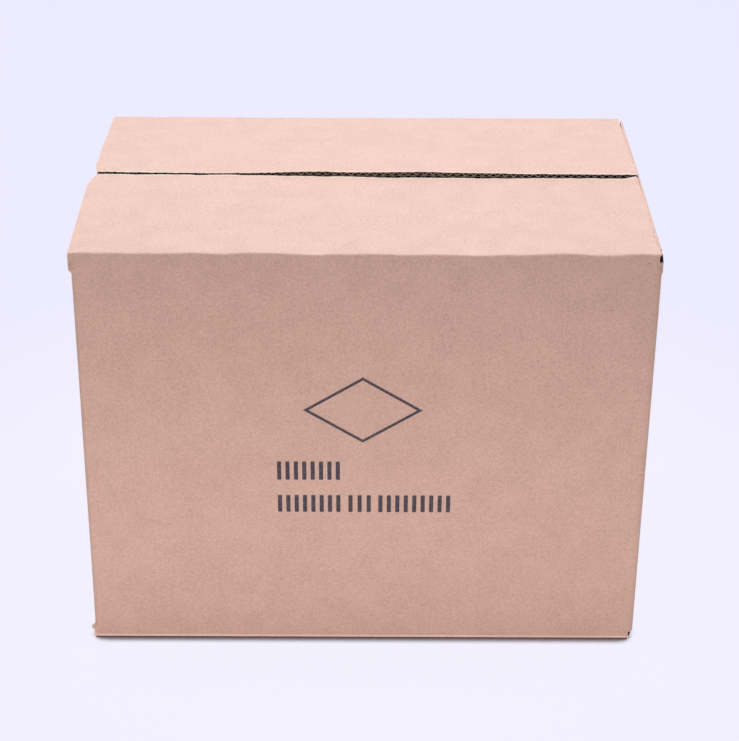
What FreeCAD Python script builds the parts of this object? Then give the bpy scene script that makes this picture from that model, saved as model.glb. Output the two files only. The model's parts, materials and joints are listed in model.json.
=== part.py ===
"""Closed shipping carton in double-wall corrugated board, untaped on top.

Millimetres. X runs along the long sides, Y from front to back, Z up. The origin is the middle of the
underside. The carton is one folded and glued blank: four walls, the bottom flaps and the inner top flaps
are carton_body. The two outer top flaps are still part of the same sheet on the real carton, but they turn
on their creases, so each is a piece of its own: top_front_flap and top_back_flap.
"""
import FreeCAD, Part
import math
import os
import Sketcher

SIZES = (
    ("carton_length", 430.0, "outside length, along X"),
    ("carton_width", 281.0, "outside width, along Y"),
    ("carton_height", 337.0, "outside height"),
    ("board", 7.0, "thickness of the double-wall board"),
    ("liner", 0.3, "each of the three flat liners"),
    ("medium", 0.3, "paper of the waves"),
    ("fine_height", 2.5, "height of the fine waves, under the outer liner"),
    ("fine_pitch", 6.4, "from wave to wave in the fine row"),
    ("coarse_pitch", 7.95, "from wave to wave in the coarse row"),
    ("wave_crest", 0.9, "flat on the crest of a wave"),
    ("upright_fold", 4.0, "outside radius of the four upright folds"),
    ("level_fold", 3.0, "outside radius of the folds at top and bottom"),
    ("top_seam", 1.6, "gap between the outer top flaps"),
    ("bottom_seam", 1.6, "gap between the outer bottom flaps"),
    ("flap_clearance", 0.4, "outer top flap above the inner flaps and the wall tops"),
    ("top_slot", 2.0, "how much shorter an outer top flap is than the carton, at each end"),
    ("end_taper", 3.0, "how much its ends slant back by its free edge, because the slots widen outwards"),
    ("bottom_slot", 4.0, "the same at the bottom"),
    ("inner_clearance", 3.5, "inner flap to the front and back walls"),
    ("inner_shortfall", 2.0, "how much shorter an inner flap is than half the width"),
    ("crease_band", 12.0, "stretch of a flap beside its crease where the waves are crushed"),
    ("crease_width", 4.0, "groove in the underside of a flap, above the wall's inner face"),
    ("crease_depth", 1.2, "depth of that groove"),
    ("tab_width", 35.0, "glued tab inside the back left corner"),
    ("tab_board", 3.5, "thickness of the tab, crushed by the glueing"),
    ("tab_clearance", 8.0, "tab end to the inner flaps"),
    ("tab_taper", 12.0, "slope of the tab's two ends"),
)

HALF_LENGTH = "sizes.carton_length / 2"
HALF_WIDTH = "sizes.carton_width / 2"
WALL_TOP = "(sizes.carton_height - sizes.board - sizes.flap_clearance)"
INNER_LENGTH = "(sizes.carton_width / 2 - sizes.inner_shortfall)"
TOP_FLAP_LENGTH = "(sizes.carton_width / 2 - sizes.top_seam / 2)"
TOP_FLAP_WIDTH = "(sizes.carton_length - 2 * sizes.top_slot)"
COARSE_HEIGHT = "(sizes.board - 3 * sizes.liner - sizes.fine_height)"


def make_sizes(doc):
    """Write the driving dimensions into the sheet, one row each, with its alias."""
    sheet = doc.addObject("Spreadsheet::Sheet", "sizes")
    for row, (alias, value, meaning) in enumerate(SIZES, start=1):
        sheet.set(f"A{row}", meaning)
        sheet.set(f"B{row}", str(value))
        sheet.setAlias(f"B{row}", alias)
    doc.recompute()
    return sheet


def origin_feature(body, role):
    """Return the body's own origin plane or axis of that role."""
    return next(item for item in body.Origin.OriginFeatures if item.Role == role)


def add_sketch(body, name, plane, offset):
    """Add a sketch on one of the body's origin planes, moved along the plane's normal by an expression."""
    sketch = body.newObject("Sketcher::SketchObject", name)
    sketch.AttachmentSupport = [(origin_feature(body, plane), "")]
    sketch.MapMode = "FlatFace"
    sketch.setExpression("AttachmentOffset.Base.z", offset)
    return sketch


def bind(sketch, constraint, expression):
    """Add a dimension to a sketch and bind it to an expression of the sheet's sizes."""
    index = sketch.addConstraint(constraint)
    sketch.setExpression(f"Constraints[{index}]", expression)


def square_loop(sketch, sides, rounds=None):
    """Draw a closed loop of upright and level lines.

    sides lists the lines in turn: ("x", expression) for an upright one, ("y", expression) for a level one.
    rounds gives the radius of a rounded corner, an expression, by the number of the side that ends in it.
    """
    rounds = rounds or {}
    count = len(sides)
    places = [float(sketch.evalExpression(expression)) for _, expression in sides]
    radii = [float(sketch.evalExpression(rounds[i])) if i in rounds else 0.0 for i in range(count)]
    corners = []
    for i in range(count):
        here, after = places[i], places[(i + 1) % count]
        corners.append(FreeCAD.Vector(here, after) if sides[i][0] == "x" else FreeCAD.Vector(after, here))
    ways = [(corners[i] - corners[i - 1]).normalize() for i in range(count)]
    lines = []
    for i, (axis, expression) in enumerate(sides):
        start = corners[i - 1] + ways[i] * radii[i - 1]
        end = corners[i] - ways[i] * radii[i]
        line = sketch.addGeometry(Part.LineSegment(start, end), False)
        sketch.addConstraint(Sketcher.Constraint("Vertical" if axis == "x" else "Horizontal", line))
        kind = "DistanceX" if axis == "x" else "DistanceY"
        bind(sketch, Sketcher.Constraint(kind, -1, 1, line, 1, places[i]), expression)
        lines.append(line)
    for i in range(count):
        after = (i + 1) % count
        if i not in rounds:
            sketch.addConstraint(Sketcher.Constraint("Coincident", lines[i], 2, lines[after], 1))
            continue
        arc, first, last = add_corner_arc(sketch, corners[i], ways[i], ways[after], radii[i])
        sketch.addConstraint(Sketcher.Constraint("Tangent", lines[i], 2, arc, first))
        sketch.addConstraint(Sketcher.Constraint("Tangent", arc, last, lines[after], 1))
        bind(sketch, Sketcher.Constraint("Radius", arc, radii[i]), rounds[i])


def add_corner_arc(sketch, corner, way_in, way_out, radius):
    """Add the arc that rounds a corner, and return it with its end on the first side and on the second."""
    middle = corner - way_in * radius + way_out * radius
    circle = Part.Circle(middle, FreeCAD.Vector(0, 0, 1), radius)
    spoke_in = way_out * -1
    spoke_out = way_in
    angle_in = math.atan2(spoke_in.y, spoke_in.x)
    angle_out = math.atan2(spoke_out.y, spoke_out.x)
    if way_in.cross(way_out).z > 0:
        return sketch.addGeometry(Part.ArcOfCircle(circle, angle_in, angle_out), False), 1, 2
    return sketch.addGeometry(Part.ArcOfCircle(circle, angle_out, angle_in), False), 2, 1


def pointed_loop(sketch, points):
    """Draw a closed loop through points, each held by an expression for x and one for y."""
    vectors = []
    for across, along in points:
        vectors.append(FreeCAD.Vector(sketch.evalExpression(across), sketch.evalExpression(along)))
    lines = []
    for i, point in enumerate(vectors):
        after = vectors[(i + 1) % len(vectors)]
        lines.append(sketch.addGeometry(Part.LineSegment(point, after), False))
    for i, (across, along) in enumerate(points):
        sketch.addConstraint(Sketcher.Constraint("Coincident", lines[i - 1], 2, lines[i], 1))
        bind(sketch, Sketcher.Constraint("DistanceX", -1, 1, lines[i], 1, vectors[i].x), across)
        bind(sketch, Sketcher.Constraint("DistanceY", -1, 1, lines[i], 1, vectors[i].y), along)


def add_pad(body, name, sketch, length, symmetric=False):
    """Pad a sketch by an expression, one way or evenly to both sides."""
    pad = body.newObject("PartDesign::Pad", name)
    pad.Profile = sketch
    pad.AllowMultiFace = True
    pad.SideType = "Symmetric" if symmetric else "One side"
    pad.setExpression("Length", length)
    return pad


def add_walls(body):
    """Pad the four walls as one ring with rounded upright folds, between the level folds."""
    sketch = add_sketch(body, "walls_outline", "XY_Plane", "sizes.board + sizes.level_fold")
    outside = (("x", HALF_LENGTH), ("y", HALF_WIDTH), ("x", f"-{HALF_LENGTH}"), ("y", f"-{HALF_WIDTH}"))
    square_loop(sketch, outside, {corner: "sizes.upright_fold" for corner in range(4)})
    inside = (
        ("x", f"{HALF_LENGTH} - sizes.board"),
        ("y", f"{HALF_WIDTH} - sizes.board"),
        ("x", f"sizes.board - {HALF_LENGTH}"),
        ("y", f"sizes.board - {HALF_WIDTH}"),
    )
    square_loop(sketch, inside)
    add_pad(body, "walls", sketch, f"{WALL_TOP} - sizes.board - 2 * sizes.level_fold")


def add_long_panels(body):
    """Pad the front and back panels, each one profile with its bottom flap, folded on a rounded crease."""
    for name, side in (("front", "-1"), ("back", "1")):
        sketch = add_sketch(body, f"{name}_panel_section", "YZ_Plane", "0")
        profile = (
            ("x", f"{side} * {HALF_WIDTH}"),
            ("y", "0"),
            ("x", f"{side} * sizes.bottom_seam / 2"),
            ("y", "sizes.board"),
            ("x", f"{side} * ({HALF_WIDTH} - sizes.board)"),
            ("y", WALL_TOP),
        )
        square_loop(sketch, profile, {0: "sizes.level_fold"})
        add_pad(body, f"{name}_panel", sketch, "sizes.carton_length - 2 * sizes.bottom_slot", True)


def add_top_edges(body):
    """Pad the top of the front and back walls out to where the outer top flaps end."""
    for name, side in (("front", "-1"), ("back", "1")):
        sketch = add_sketch(body, f"{name}_top_section", "YZ_Plane", "0")
        profile = (
            ("x", f"{side} * {HALF_WIDTH}"),
            ("y", f"{WALL_TOP} - sizes.board"),
            ("x", f"{side} * ({HALF_WIDTH} - sizes.board)"),
            ("y", WALL_TOP),
        )
        square_loop(sketch, profile)
        add_pad(body, f"{name}_top_edge", sketch, TOP_FLAP_WIDTH, True)


def add_short_panels(body):
    """Pad the end panels, each one profile with its inner flaps at the bottom and at the top."""
    for name, side in (("left", "-1"), ("right", "1")):
        sketch = add_sketch(body, f"{name}_panel_section", "XZ_Plane", "0")
        free_edge = f"{side} * ({HALF_LENGTH} - {INNER_LENGTH})"
        profile = (
            ("x", f"{side} * {HALF_LENGTH}"),
            ("y", "sizes.board"),
            ("x", free_edge),
            ("y", "2 * sizes.board"),
            ("x", f"{side} * ({HALF_LENGTH} - sizes.board)"),
            ("y", f"{WALL_TOP} - sizes.board"),
            ("x", free_edge),
            ("y", WALL_TOP),
        )
        square_loop(sketch, profile, {0: "sizes.level_fold", 7: "sizes.level_fold"})
        depth = "sizes.carton_width - 2 * sizes.board - 2 * sizes.inner_clearance"
        add_pad(body, f"{name}_panel", sketch, depth, True)


def add_glued_tab(body):
    """Pad the tab that closes the blank into a tube, glued to the inside of the back wall."""
    sketch = add_sketch(body, "tab_outline", "XZ_Plane", f"sizes.board - {HALF_WIDTH}")
    root = f"sizes.board - {HALF_LENGTH}"
    tip = f"sizes.board - {HALF_LENGTH} + sizes.tab_width"
    low = "2 * sizes.board + sizes.tab_clearance"
    high = f"{WALL_TOP} - sizes.board - sizes.tab_clearance"
    outline = (
        (root, low),
        (tip, f"{low} + sizes.tab_taper"),
        (tip, f"{high} - sizes.tab_taper"),
        (root, high),
    )
    pointed_loop(sketch, outline)
    add_pad(body, "glued_tab", sketch, "sizes.tab_board")


def make_carton_body(doc):
    """Build the folded blank without its outer top flaps."""
    body = doc.addObject("PartDesign::Body", "carton_body")
    body.Label = "carton_body"
    add_walls(body)
    add_long_panels(body)
    add_top_edges(body)
    add_short_panels(body)
    add_glued_tab(body)
    return body


def add_flap_board(body):
    """Pad a top flap in its own frame: crease along X at the origin, free edge at +Y, outer face up."""
    sketch = add_sketch(body, "flap_section", "YZ_Plane", "0")
    profile = (
        ("x", "0"),
        ("y", "0"),
        ("x", TOP_FLAP_LENGTH),
        ("y", "-sizes.board"),
        ("x", "sizes.board + sizes.crease_width / 2"),
        ("y", "sizes.crease_depth - sizes.board"),
        ("x", "sizes.board - sizes.crease_width / 2"),
        ("y", "-sizes.board"),
    )
    square_loop(sketch, profile, {0: "sizes.level_fold"})
    return add_pad(body, "flap_board", sketch, TOP_FLAP_WIDTH, True)


def taper_ends(body):
    """Cut both ends of a top flap back, from the crushed band to the free edge."""
    sketch = add_sketch(body, "end_tapers", "XY_Plane", "0")
    for side in ("", "-"):
        corner = f"{side}{TOP_FLAP_WIDTH} / 2"
        cut_back = f"{side}({TOP_FLAP_WIDTH} / 2 - sizes.end_taper)"
        outline = ((corner, "sizes.crease_band"), (corner, TOP_FLAP_LENGTH), (cut_back, TOP_FLAP_LENGTH))
        pointed_loop(sketch, outline)
    pocket = body.newObject("PartDesign::Pocket", "tapered_ends")
    pocket.Profile = sketch
    pocket.AllowMultiFace = True
    pocket.Type = "ThroughAll"
    return pocket


def cut_flutes(body, name, low, height, pitch):
    """Cut one row of flutes from the crushed band to the free edge.

    Each step of the row is one cell under a wave and one over the next, so the paper left between them is
    the zigzag wave itself, glued to the liner below and above at its crests.
    """
    count = f"floor(({TOP_FLAP_WIDTH} - 2 * sizes.end_taper - {pitch} / 2) / {pitch})"
    under = f"(-({count} - 1) * {pitch} / 2 - {pitch} / 4)"
    over = f"({under} + {pitch} / 2)"
    crest = "sizes.wave_crest / 2"
    foot = f"({pitch} - sizes.wave_crest - 2 * sizes.medium) / 2"
    high = f"({low} + {height})"
    cell_under = (
        (f"{under} - {foot}", low),
        (f"{under} + {foot}", low),
        (f"{under} + {crest}", f"{high} - sizes.medium"),
        (f"{under} - {crest}", f"{high} - sizes.medium"),
    )
    cell_over = (
        (f"{over} - {crest}", f"{low} + sizes.medium"),
        (f"{over} + {crest}", f"{low} + sizes.medium"),
        (f"{over} + {foot}", high),
        (f"{over} - {foot}", high),
    )
    sketch = add_sketch(body, f"{name}_cells", "XZ_Plane", "-sizes.crease_band")
    pointed_loop(sketch, cell_under)
    pointed_loop(sketch, cell_over)
    pocket = body.newObject("PartDesign::Pocket", f"{name}_flute")
    pocket.Profile = sketch
    pocket.AllowMultiFace = True
    pocket.Type = "ThroughAll"
    row = body.newObject("PartDesign::LinearPattern", f"{name}_flutes")
    row.Originals = [pocket]
    row.Direction = (origin_feature(body, "X_Axis"), [""])
    row.Mode = "Spacing"
    row.Refine = False
    row.setExpression("Offset", pitch)
    row.setExpression("Occurrences", count)
    body.Tip = row


def make_top_flap(doc, label, side, turn):
    """Build one outer top flap and set it on its wall, side -1 at the front or 1 at the back."""
    body = doc.addObject("PartDesign::Body", label)
    body.Label = label
    board = add_flap_board(body)
    tapered = taper_ends(body)
    fine_low = "(-sizes.liner - sizes.fine_height)"
    coarse_low = "(sizes.liner - sizes.board)"
    cut_flutes(body, "fine", fine_low, "sizes.fine_height", "sizes.fine_pitch")
    cut_flutes(body, "coarse", coarse_low, COARSE_HEIGHT, "sizes.coarse_pitch")
    body.Placement = FreeCAD.Placement(FreeCAD.Vector(), FreeCAD.Rotation(FreeCAD.Vector(0, 0, 1), turn))
    body.setExpression("Placement.Base.y", f"{side} * {HALF_WIDTH}")
    body.setExpression("Placement.Base.z", "sizes.carton_height")
    doc.recompute()
    if tapered.Shape.Volume >= board.Shape.Volume:
        raise RuntimeError(f"{label}: the tapers cut nothing")
    hollow = 1 - body.Shape.Volume / tapered.Shape.Volume
    print(f"{label}: flutes take {hollow:.0%} of the board")
    if hollow < 0.3:
        raise RuntimeError(f"{label}: the flutes cut nothing")
    return body


def write_parts(doc, bodies):
    """Stop on anything that failed, then write each piece to its own file."""
    for item in doc.Objects:
        if {"Invalid", "Error"} & set(item.State):
            raise RuntimeError(f"{item.Name} failed: {item.State}")
    for body in bodies:
        shape = body.Shape
        if shape.isNull() or not shape.isValid() or len(shape.Solids) != 1:
            raise RuntimeError(f"{body.Label} isn't one valid solid")
    os.makedirs("parts", exist_ok=True)
    for body in bodies:
        body.Shape.exportStep(f"parts/{body.Label}.step")
        box = body.Shape.BoundBox
        print(f"{body.Label}: {box.XLength:.1f} x {box.YLength:.1f} x {box.ZLength:.1f} mm, "
              f"{body.Shape.Volume / 1000:.0f} cm3, {len(body.Shape.Faces)} faces")


def main():
    """Build the carton and write its pieces."""
    doc = FreeCAD.newDocument("carton")
    make_sizes(doc)
    bodies = [
        make_carton_body(doc),
        make_top_flap(doc, "top_front_flap", -1, 0),
        make_top_flap(doc, "top_back_flap", 1, 180),
    ]
    doc.recompute()
    write_parts(doc, bodies)


main()
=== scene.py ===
"""Looks of a closed shipping carton in double-wall corrugated board.

Metres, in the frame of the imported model: X along the long sides, Y from front to back, Z up. The carton is
one folded sheet, so each long panel is modelled in one piece with its top and bottom flap, and each end
panel with its inner flaps. The cut edges show the flutes of both rows of the board.
"""
import json
import logging
import math
from collections.abc import Callable, Iterable
from dataclasses import dataclass
from enum import Enum

import bmesh
import bpy
from mathutils import Matrix, Vector

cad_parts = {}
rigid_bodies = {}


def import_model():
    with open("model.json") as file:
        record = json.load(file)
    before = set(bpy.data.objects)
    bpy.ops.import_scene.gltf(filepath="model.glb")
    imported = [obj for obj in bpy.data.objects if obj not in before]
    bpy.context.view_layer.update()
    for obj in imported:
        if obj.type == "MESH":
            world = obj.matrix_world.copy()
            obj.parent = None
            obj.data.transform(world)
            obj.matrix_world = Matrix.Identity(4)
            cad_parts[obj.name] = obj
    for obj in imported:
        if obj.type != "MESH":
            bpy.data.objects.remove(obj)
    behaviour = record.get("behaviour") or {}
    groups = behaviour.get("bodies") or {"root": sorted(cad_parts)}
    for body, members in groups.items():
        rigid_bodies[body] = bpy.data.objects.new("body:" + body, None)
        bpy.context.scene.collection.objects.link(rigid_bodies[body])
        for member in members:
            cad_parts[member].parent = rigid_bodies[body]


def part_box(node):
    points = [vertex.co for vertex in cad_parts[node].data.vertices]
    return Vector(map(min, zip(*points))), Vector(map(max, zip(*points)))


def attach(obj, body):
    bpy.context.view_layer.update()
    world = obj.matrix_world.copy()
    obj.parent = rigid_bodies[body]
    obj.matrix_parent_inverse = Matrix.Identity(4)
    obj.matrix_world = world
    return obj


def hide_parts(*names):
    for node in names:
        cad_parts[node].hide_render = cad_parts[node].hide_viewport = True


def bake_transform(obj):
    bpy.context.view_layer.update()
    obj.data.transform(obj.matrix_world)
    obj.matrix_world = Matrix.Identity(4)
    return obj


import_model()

MM = 0.001
NEAR = 0.1 * MM  # what is this close to a plane lies on it
FACING = 0.9  # a face looks along an axis if its normal has more than this along it
LEANING = 0.7  # the same for a face that may slope
SETBACK = 0.2 * MM  # how far the waves end behind the liners
SHADE, RUBBED_HIGHLIT, BOUNCE_LIT = 1, 2, 3  # a panel's materials, after the kraft liner at 0: painted shade, the rubbed rim with a painted highlight, and painted bounce light on the bottom fold
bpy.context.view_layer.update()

log = logging.getLogger("carton")

Colour = tuple[float, float, float]
Place = tuple[float, float, float]
Socket = bpy.types.NodeSocket
Material = bpy.types.Material
FaceTest = Callable[[Vector, Vector], bool]
EdgeTest = Callable[[Vector, Vector], bool]
PointTest = Callable[[Vector], bool]


class Axis(Enum):
    """An axis of the frame."""

    X = 0
    Y = 1
    Z = 2

    def unit(self) -> Vector:
        """Return the unit vector along the axis."""
        return Vector(tuple(float(self.value == i) for i in range(3)))


class Side(Enum):
    """A long side of the carton."""

    FRONT = "front"
    BACK = "back"


class End(Enum):
    """A short side of the carton, with the sign of its X."""

    LEFT = -1
    RIGHT = 1


@dataclass(frozen=True)
class Board:
    """The section of the double-wall board, from the outer liner inwards."""

    thickness: float = 7.0 * MM
    liner: float = 0.3 * MM
    medium: float = 0.32 * MM
    fine_height: float = 2.5 * MM
    fine_pitch: float = 6.4 * MM
    coarse_pitch: float = 7.95 * MM

    @property
    def coarse_height(self) -> float:
        """Height of the coarse waves, between the middle liner and the inner one."""
        return self.thickness - 3 * self.liner - self.fine_height

    def bands(self, level: float, way: float) -> list[tuple[float, float, float]]:
        """Return the lower and upper level of each row of flutes and its pitch, outermost row first.

        Args:
            level: Z of the outer face.
            way: 1.0 if the board lies over it, -1.0 if it lies under it.
        """
        fine_top, coarse_top = self.liner, 2 * self.liner + self.fine_height
        return [
            (*sorted((level + way * depth, level + way * (depth + height))), pitch)
            for depth, height, pitch in (
                (fine_top, self.fine_height, self.fine_pitch),
                (coarse_top, self.coarse_height, self.coarse_pitch),
            )
        ]


@dataclass(frozen=True)
class Carton:
    """Outside sizes of the carton, read from the frame."""

    half_length: float
    half_width: float
    height: float
    upright_fold: float = 4.0 * MM
    seam: float = 1.6 * MM

    @classmethod
    def from_frame(cls) -> "Carton":
        """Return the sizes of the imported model."""
        low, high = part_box("carton_body")
        return cls(high.x, high.y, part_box("top_front_flap")[1].z)


def clear_selection() -> None:
    """Leave edit mode and deselect everything."""
    if bpy.context.object and bpy.context.object.mode != "OBJECT":
        bpy.ops.object.mode_set(mode="OBJECT")
    bpy.ops.object.select_all(action="DESELECT")


def between(value: float, low: float, high: float) -> bool:
    """Return whether a value lies between two others."""
    return low < value < high


def smooth_step(value: float, low: float, high: float) -> float:
    """Return 0 up to low, 1 from high, and a smooth rise between."""
    share = min(1.0, max(0.0, (value - low) / (high - low)))
    return share * share * (3 - 2 * share)


def smooth_heights(heights: tuple[float, ...], share: float) -> float:
    """Return the height at a share of the way along heights that are evenly spaced.

    Args:
        heights: the heights, from one end to the other.
        share: the place, from 0 to 1.

    Returns:
        The height, with smooth rises between the ones given.
    """
    place = min(0.9999, max(0.0, share)) * (len(heights) - 1)
    index = int(place)
    rise = smooth_step(place - index, 0.0, 1.0)
    return heights[index] + (heights[index + 1] - heights[index]) * rise


class Workpiece:
    """A mesh on the bench, started from a primitive and shaped with the edit operators."""

    def __init__(self, name: str, low: Vector, high: Vector) -> None:
        """Start from a block between two corners, and leave it in edit mode."""
        clear_selection()
        bpy.ops.mesh.primitive_cube_add(size=1.0, location=(low + high) / 2, scale=high - low)
        bpy.ops.object.transform_apply(location=True, rotation=True, scale=True)
        self.adopt(name)
        bpy.ops.object.mode_set(mode="EDIT")

    def adopt(self, name: str) -> None:
        """Take the active object as this workpiece's own."""
        self.object = bpy.context.object
        self.object.name = name
        self.object.data.name = name

    def _pick(self, mode: str, kind: str, test: Callable) -> None:
        """Select the faces, edges or points that pass a test."""
        bpy.ops.mesh.select_mode(type=mode)
        bpy.ops.mesh.select_all(action="DESELECT")
        shell = bmesh.from_edit_mesh(self.object.data)
        shell.normal_update()
        chosen = [item for item in getattr(shell, kind) if test(item)]
        for item in chosen:
            item.select_set(True)
        bmesh.update_edit_mesh(self.object.data)
        if not chosen:
            raise ValueError(f"{self.object.name}: nothing to pick")

    def pick_faces(self, test: FaceTest) -> None:
        """Select faces by their centre and normal."""
        self._pick("FACE", "faces", lambda face: test(face.calc_center_median(), face.normal))

    def pick_edges(self, test: EdgeTest) -> None:
        """Select edges by their two ends."""
        self._pick("EDGE", "edges", lambda edge: test(edge.verts[0].co, edge.verts[1].co))

    def pick_points(self, test: PointTest) -> None:
        """Select points by their place."""
        self._pick("VERT", "verts", lambda point: test(point.co))

    def extrude(self, axis: Axis, distance: float) -> None:
        """Extrude the selected faces along an axis."""
        bpy.ops.mesh.extrude_region_move(TRANSFORM_OT_translate={"value": axis.unit() * distance})

    def shift(self, move: Vector) -> None:
        """Move what is selected."""
        bpy.ops.transform.translate(value=move)

    def inset(self, width: float) -> None:
        """Inset the selected faces as one region."""
        bpy.ops.mesh.inset(thickness=width, depth=0.0, use_even_offset=True)

    def bevel(self, width: float, segments: int) -> None:
        """Round the selected edges."""
        bpy.ops.mesh.bevel(offset=width, segments=segments, profile=0.5, affect="EDGES")

    def coat(self, *materials: Material) -> None:
        """Add materials, of which every face takes the first."""
        for material in materials:
            self.object.data.materials.append(material)

    def paint(self, finish: int) -> None:
        """Give the selected faces the material of that index."""
        self.object.active_material_index = finish
        bpy.ops.object.material_slot_assign()

    def trim(self, axis: Axis, low: float, high: float) -> None:
        """Cut off all that lies below one place or above another on an axis."""
        for place, way in ((low, -1), (high, 1)):
            bpy.ops.mesh.select_all(action="SELECT")
            bpy.ops.mesh.bisect(plane_co=axis.unit() * place, plane_no=axis.unit() * way, clear_outer=True)

    def cut(self, axis: Axis, places: Iterable[float], test: FaceTest | None = None) -> None:
        """Cut the mesh across an axis at each place.

        Args:
            axis: the axis that the cuts are square to.
            places: where they are along it.
            test: picks the faces that are cut, or None for all.
        """
        for place in places:
            if test:
                self.pick_faces(test)
            else:
                bpy.ops.mesh.select_all(action="SELECT")
            bpy.ops.mesh.bisect(plane_co=axis.unit() * place, plane_no=axis.unit())

    def sink(self, axis: Axis, distance: float) -> None:
        """Sink the selected faces into a pocket, and give its floor and walls painted shade."""
        self.extrude(axis, distance)
        bpy.ops.mesh.select_more()
        self.paint(SHADE)

    def weigh(self, name: str, share: Callable[[Vector], float]) -> str:
        """Make a vertex group whose weights follow each point's place.

        Args:
            name: the group's name.
            share: gives the weight, from 0 to 1, at a place.

        Returns:
            The group's name.
        """
        bpy.ops.object.mode_set(mode="OBJECT")
        group = self.object.vertex_groups.new(name=name)
        for point in self.object.data.vertices:
            group.add([point.index], min(1.0, max(0.0, share(point.co))), "REPLACE")
        return group.name

    def displace(self, axis: Axis, height: float, group: str, grain: float = 0.0) -> None:
        """Move points along an axis by their weight in a group.

        Args:
            axis: the way they move.
            height: how far a point of full weight moves.
            group: the vertex group.
            grain: size of the clouds that vary the move about zero, or 0 for an even move.
        """
        modifier = self.object.modifiers.new("displace", "DISPLACE")
        modifier.direction = axis.name
        modifier.strength = height
        modifier.vertex_group = group
        modifier.mid_level = 0.0
        if grain:
            clouds = bpy.data.textures.new(f"{self.object.name}_{group}", "CLOUDS")
            clouds.noise_scale = grain
            clouds.noise_depth = 1
            modifier.texture = clouds
            modifier.texture_coords = "LOCAL"
            modifier.mid_level = 0.5
        self.apply(modifier)

    def press(self, axis: Axis, name: str, move: Callable[[Vector], float]) -> None:
        """Move points along an axis by a distance, forwards or backwards, that follows their place."""
        for way in (1, -1):
            most = max(way * move(point.co) for point in self.object.data.vertices)
            if most > 0:
                self.displace(axis, way * most, self.weigh(name, lambda point: way * move(point) / most))

    def stand_as(self, *nodes: str) -> bpy.types.Object:
        """Let the workpiece stand for nodes of the model, which it hides, and return its object."""
        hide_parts(*nodes)
        return self.object

    def choose(self, others: Iterable["Workpiece"] = ()) -> None:
        """Select this workpiece, as the active one, and others beside it."""
        clear_selection()
        for piece in (*others, self):
            piece.object.select_set(True)
        bpy.context.view_layer.objects.active = self.object

    def apply(self, modifier: bpy.types.Modifier) -> None:
        """Apply a modifier of this workpiece."""
        self.choose()
        bpy.ops.object.modifier_apply(modifier=modifier.name)

    def edit(self) -> None:
        """Go into edit mode on this workpiece alone."""
        self.choose()
        bpy.ops.object.mode_set(mode="EDIT")

    def join(self, others: Iterable["Workpiece"]) -> None:
        """Join other workpieces into this one."""
        self.choose(others)
        bpy.ops.object.join()

    def turn(self, angle: float) -> None:
        """Turn the workpiece about the frame's Z axis and apply the turn."""
        self.choose()
        self.object.rotation_euler.z = angle
        bpy.ops.object.transform_apply(location=True, rotation=True, scale=True)

    def smooth(self, angle: float = 35.0) -> None:
        """Shade smooth wherever two faces meet at less than an angle in degrees."""
        self.choose()
        bpy.ops.object.shade_smooth_by_angle(angle=math.radians(angle))


class FluteRow(Workpiece):
    """The wavy paper of one row of flutes, along X, with its open ends facing +Y."""

    tip_depth = 1.0 * MM
    tip_index = 1
    slack = 0.88
    crush = 0.24

    def __init__(self, name: str, low: Vector, high: Vector, pitch: float, finishes: "Finishes") -> None:
        """Wave a grid of two columns for each flute, and give it its thickness.

        Args:
            name: the row's name.
            low: lowest corner of the room between the liners.
            high: highest corner of it.
            pitch: length of one wave.
            finishes: the carton's materials.
        """
        clear_selection()
        board = Board()
        columns = 2 * (int((high.x - low.x) / pitch) + 3)
        bpy.ops.mesh.primitive_grid_add(
            x_subdivisions=columns, y_subdivisions=2, size=1.0, location=(low + high) / 2
        )
        self.adopt(name)
        self.object.scale = (columns * pitch / 2, high.y - low.y, 1.0)
        bpy.ops.object.transform_apply(location=True, rotation=True, scale=True)
        bpy.ops.object.mode_set(mode="EDIT")
        start = (low.x + high.x - columns * pitch / 2) / 2
        # a smoothed zigzag keeps a third of its height
        lift = 3 * self.slack * (high.z - low.z - board.medium)
        for odd, way in ((1, 1), (0, -1)):
            self.pick_points(lambda point: round((point.x - start) / (pitch / 2)) % 2 == odd)
            self.shift(Vector((0, 0, way * lift / 2)))
        round_off = self.object.modifiers.new("round", "SUBSURF")
        round_off.levels = round_off.render_levels = 2
        self.apply(round_off)
        self.displace(Axis.X, pitch / 2, self.weigh("sway", lambda point: 1.0), 3 * pitch)
        self.displace(Axis.Z, self.crush * (high.z - low.z), self.weigh("crush", lambda point: 1.0), pitch)
        self.edit()
        self.trim(Axis.X, low.x, high.x)
        self.cut(Axis.Y, (high.y - self.tip_depth,))
        # the waves take painted shade, far darker than fluting paper; only their first tip_depth at the cut
        # edge takes the tip colour
        self.coat(finishes.flute, finishes.tip)
        self.pick_faces(lambda centre, normal: centre.y > high.y - self.tip_depth)
        self.paint(self.tip_index)
        paper = self.object.modifiers.new("paper", "SOLIDIFY")
        paper.thickness = board.medium
        paper.offset = 0.0
        self.apply(paper)


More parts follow.
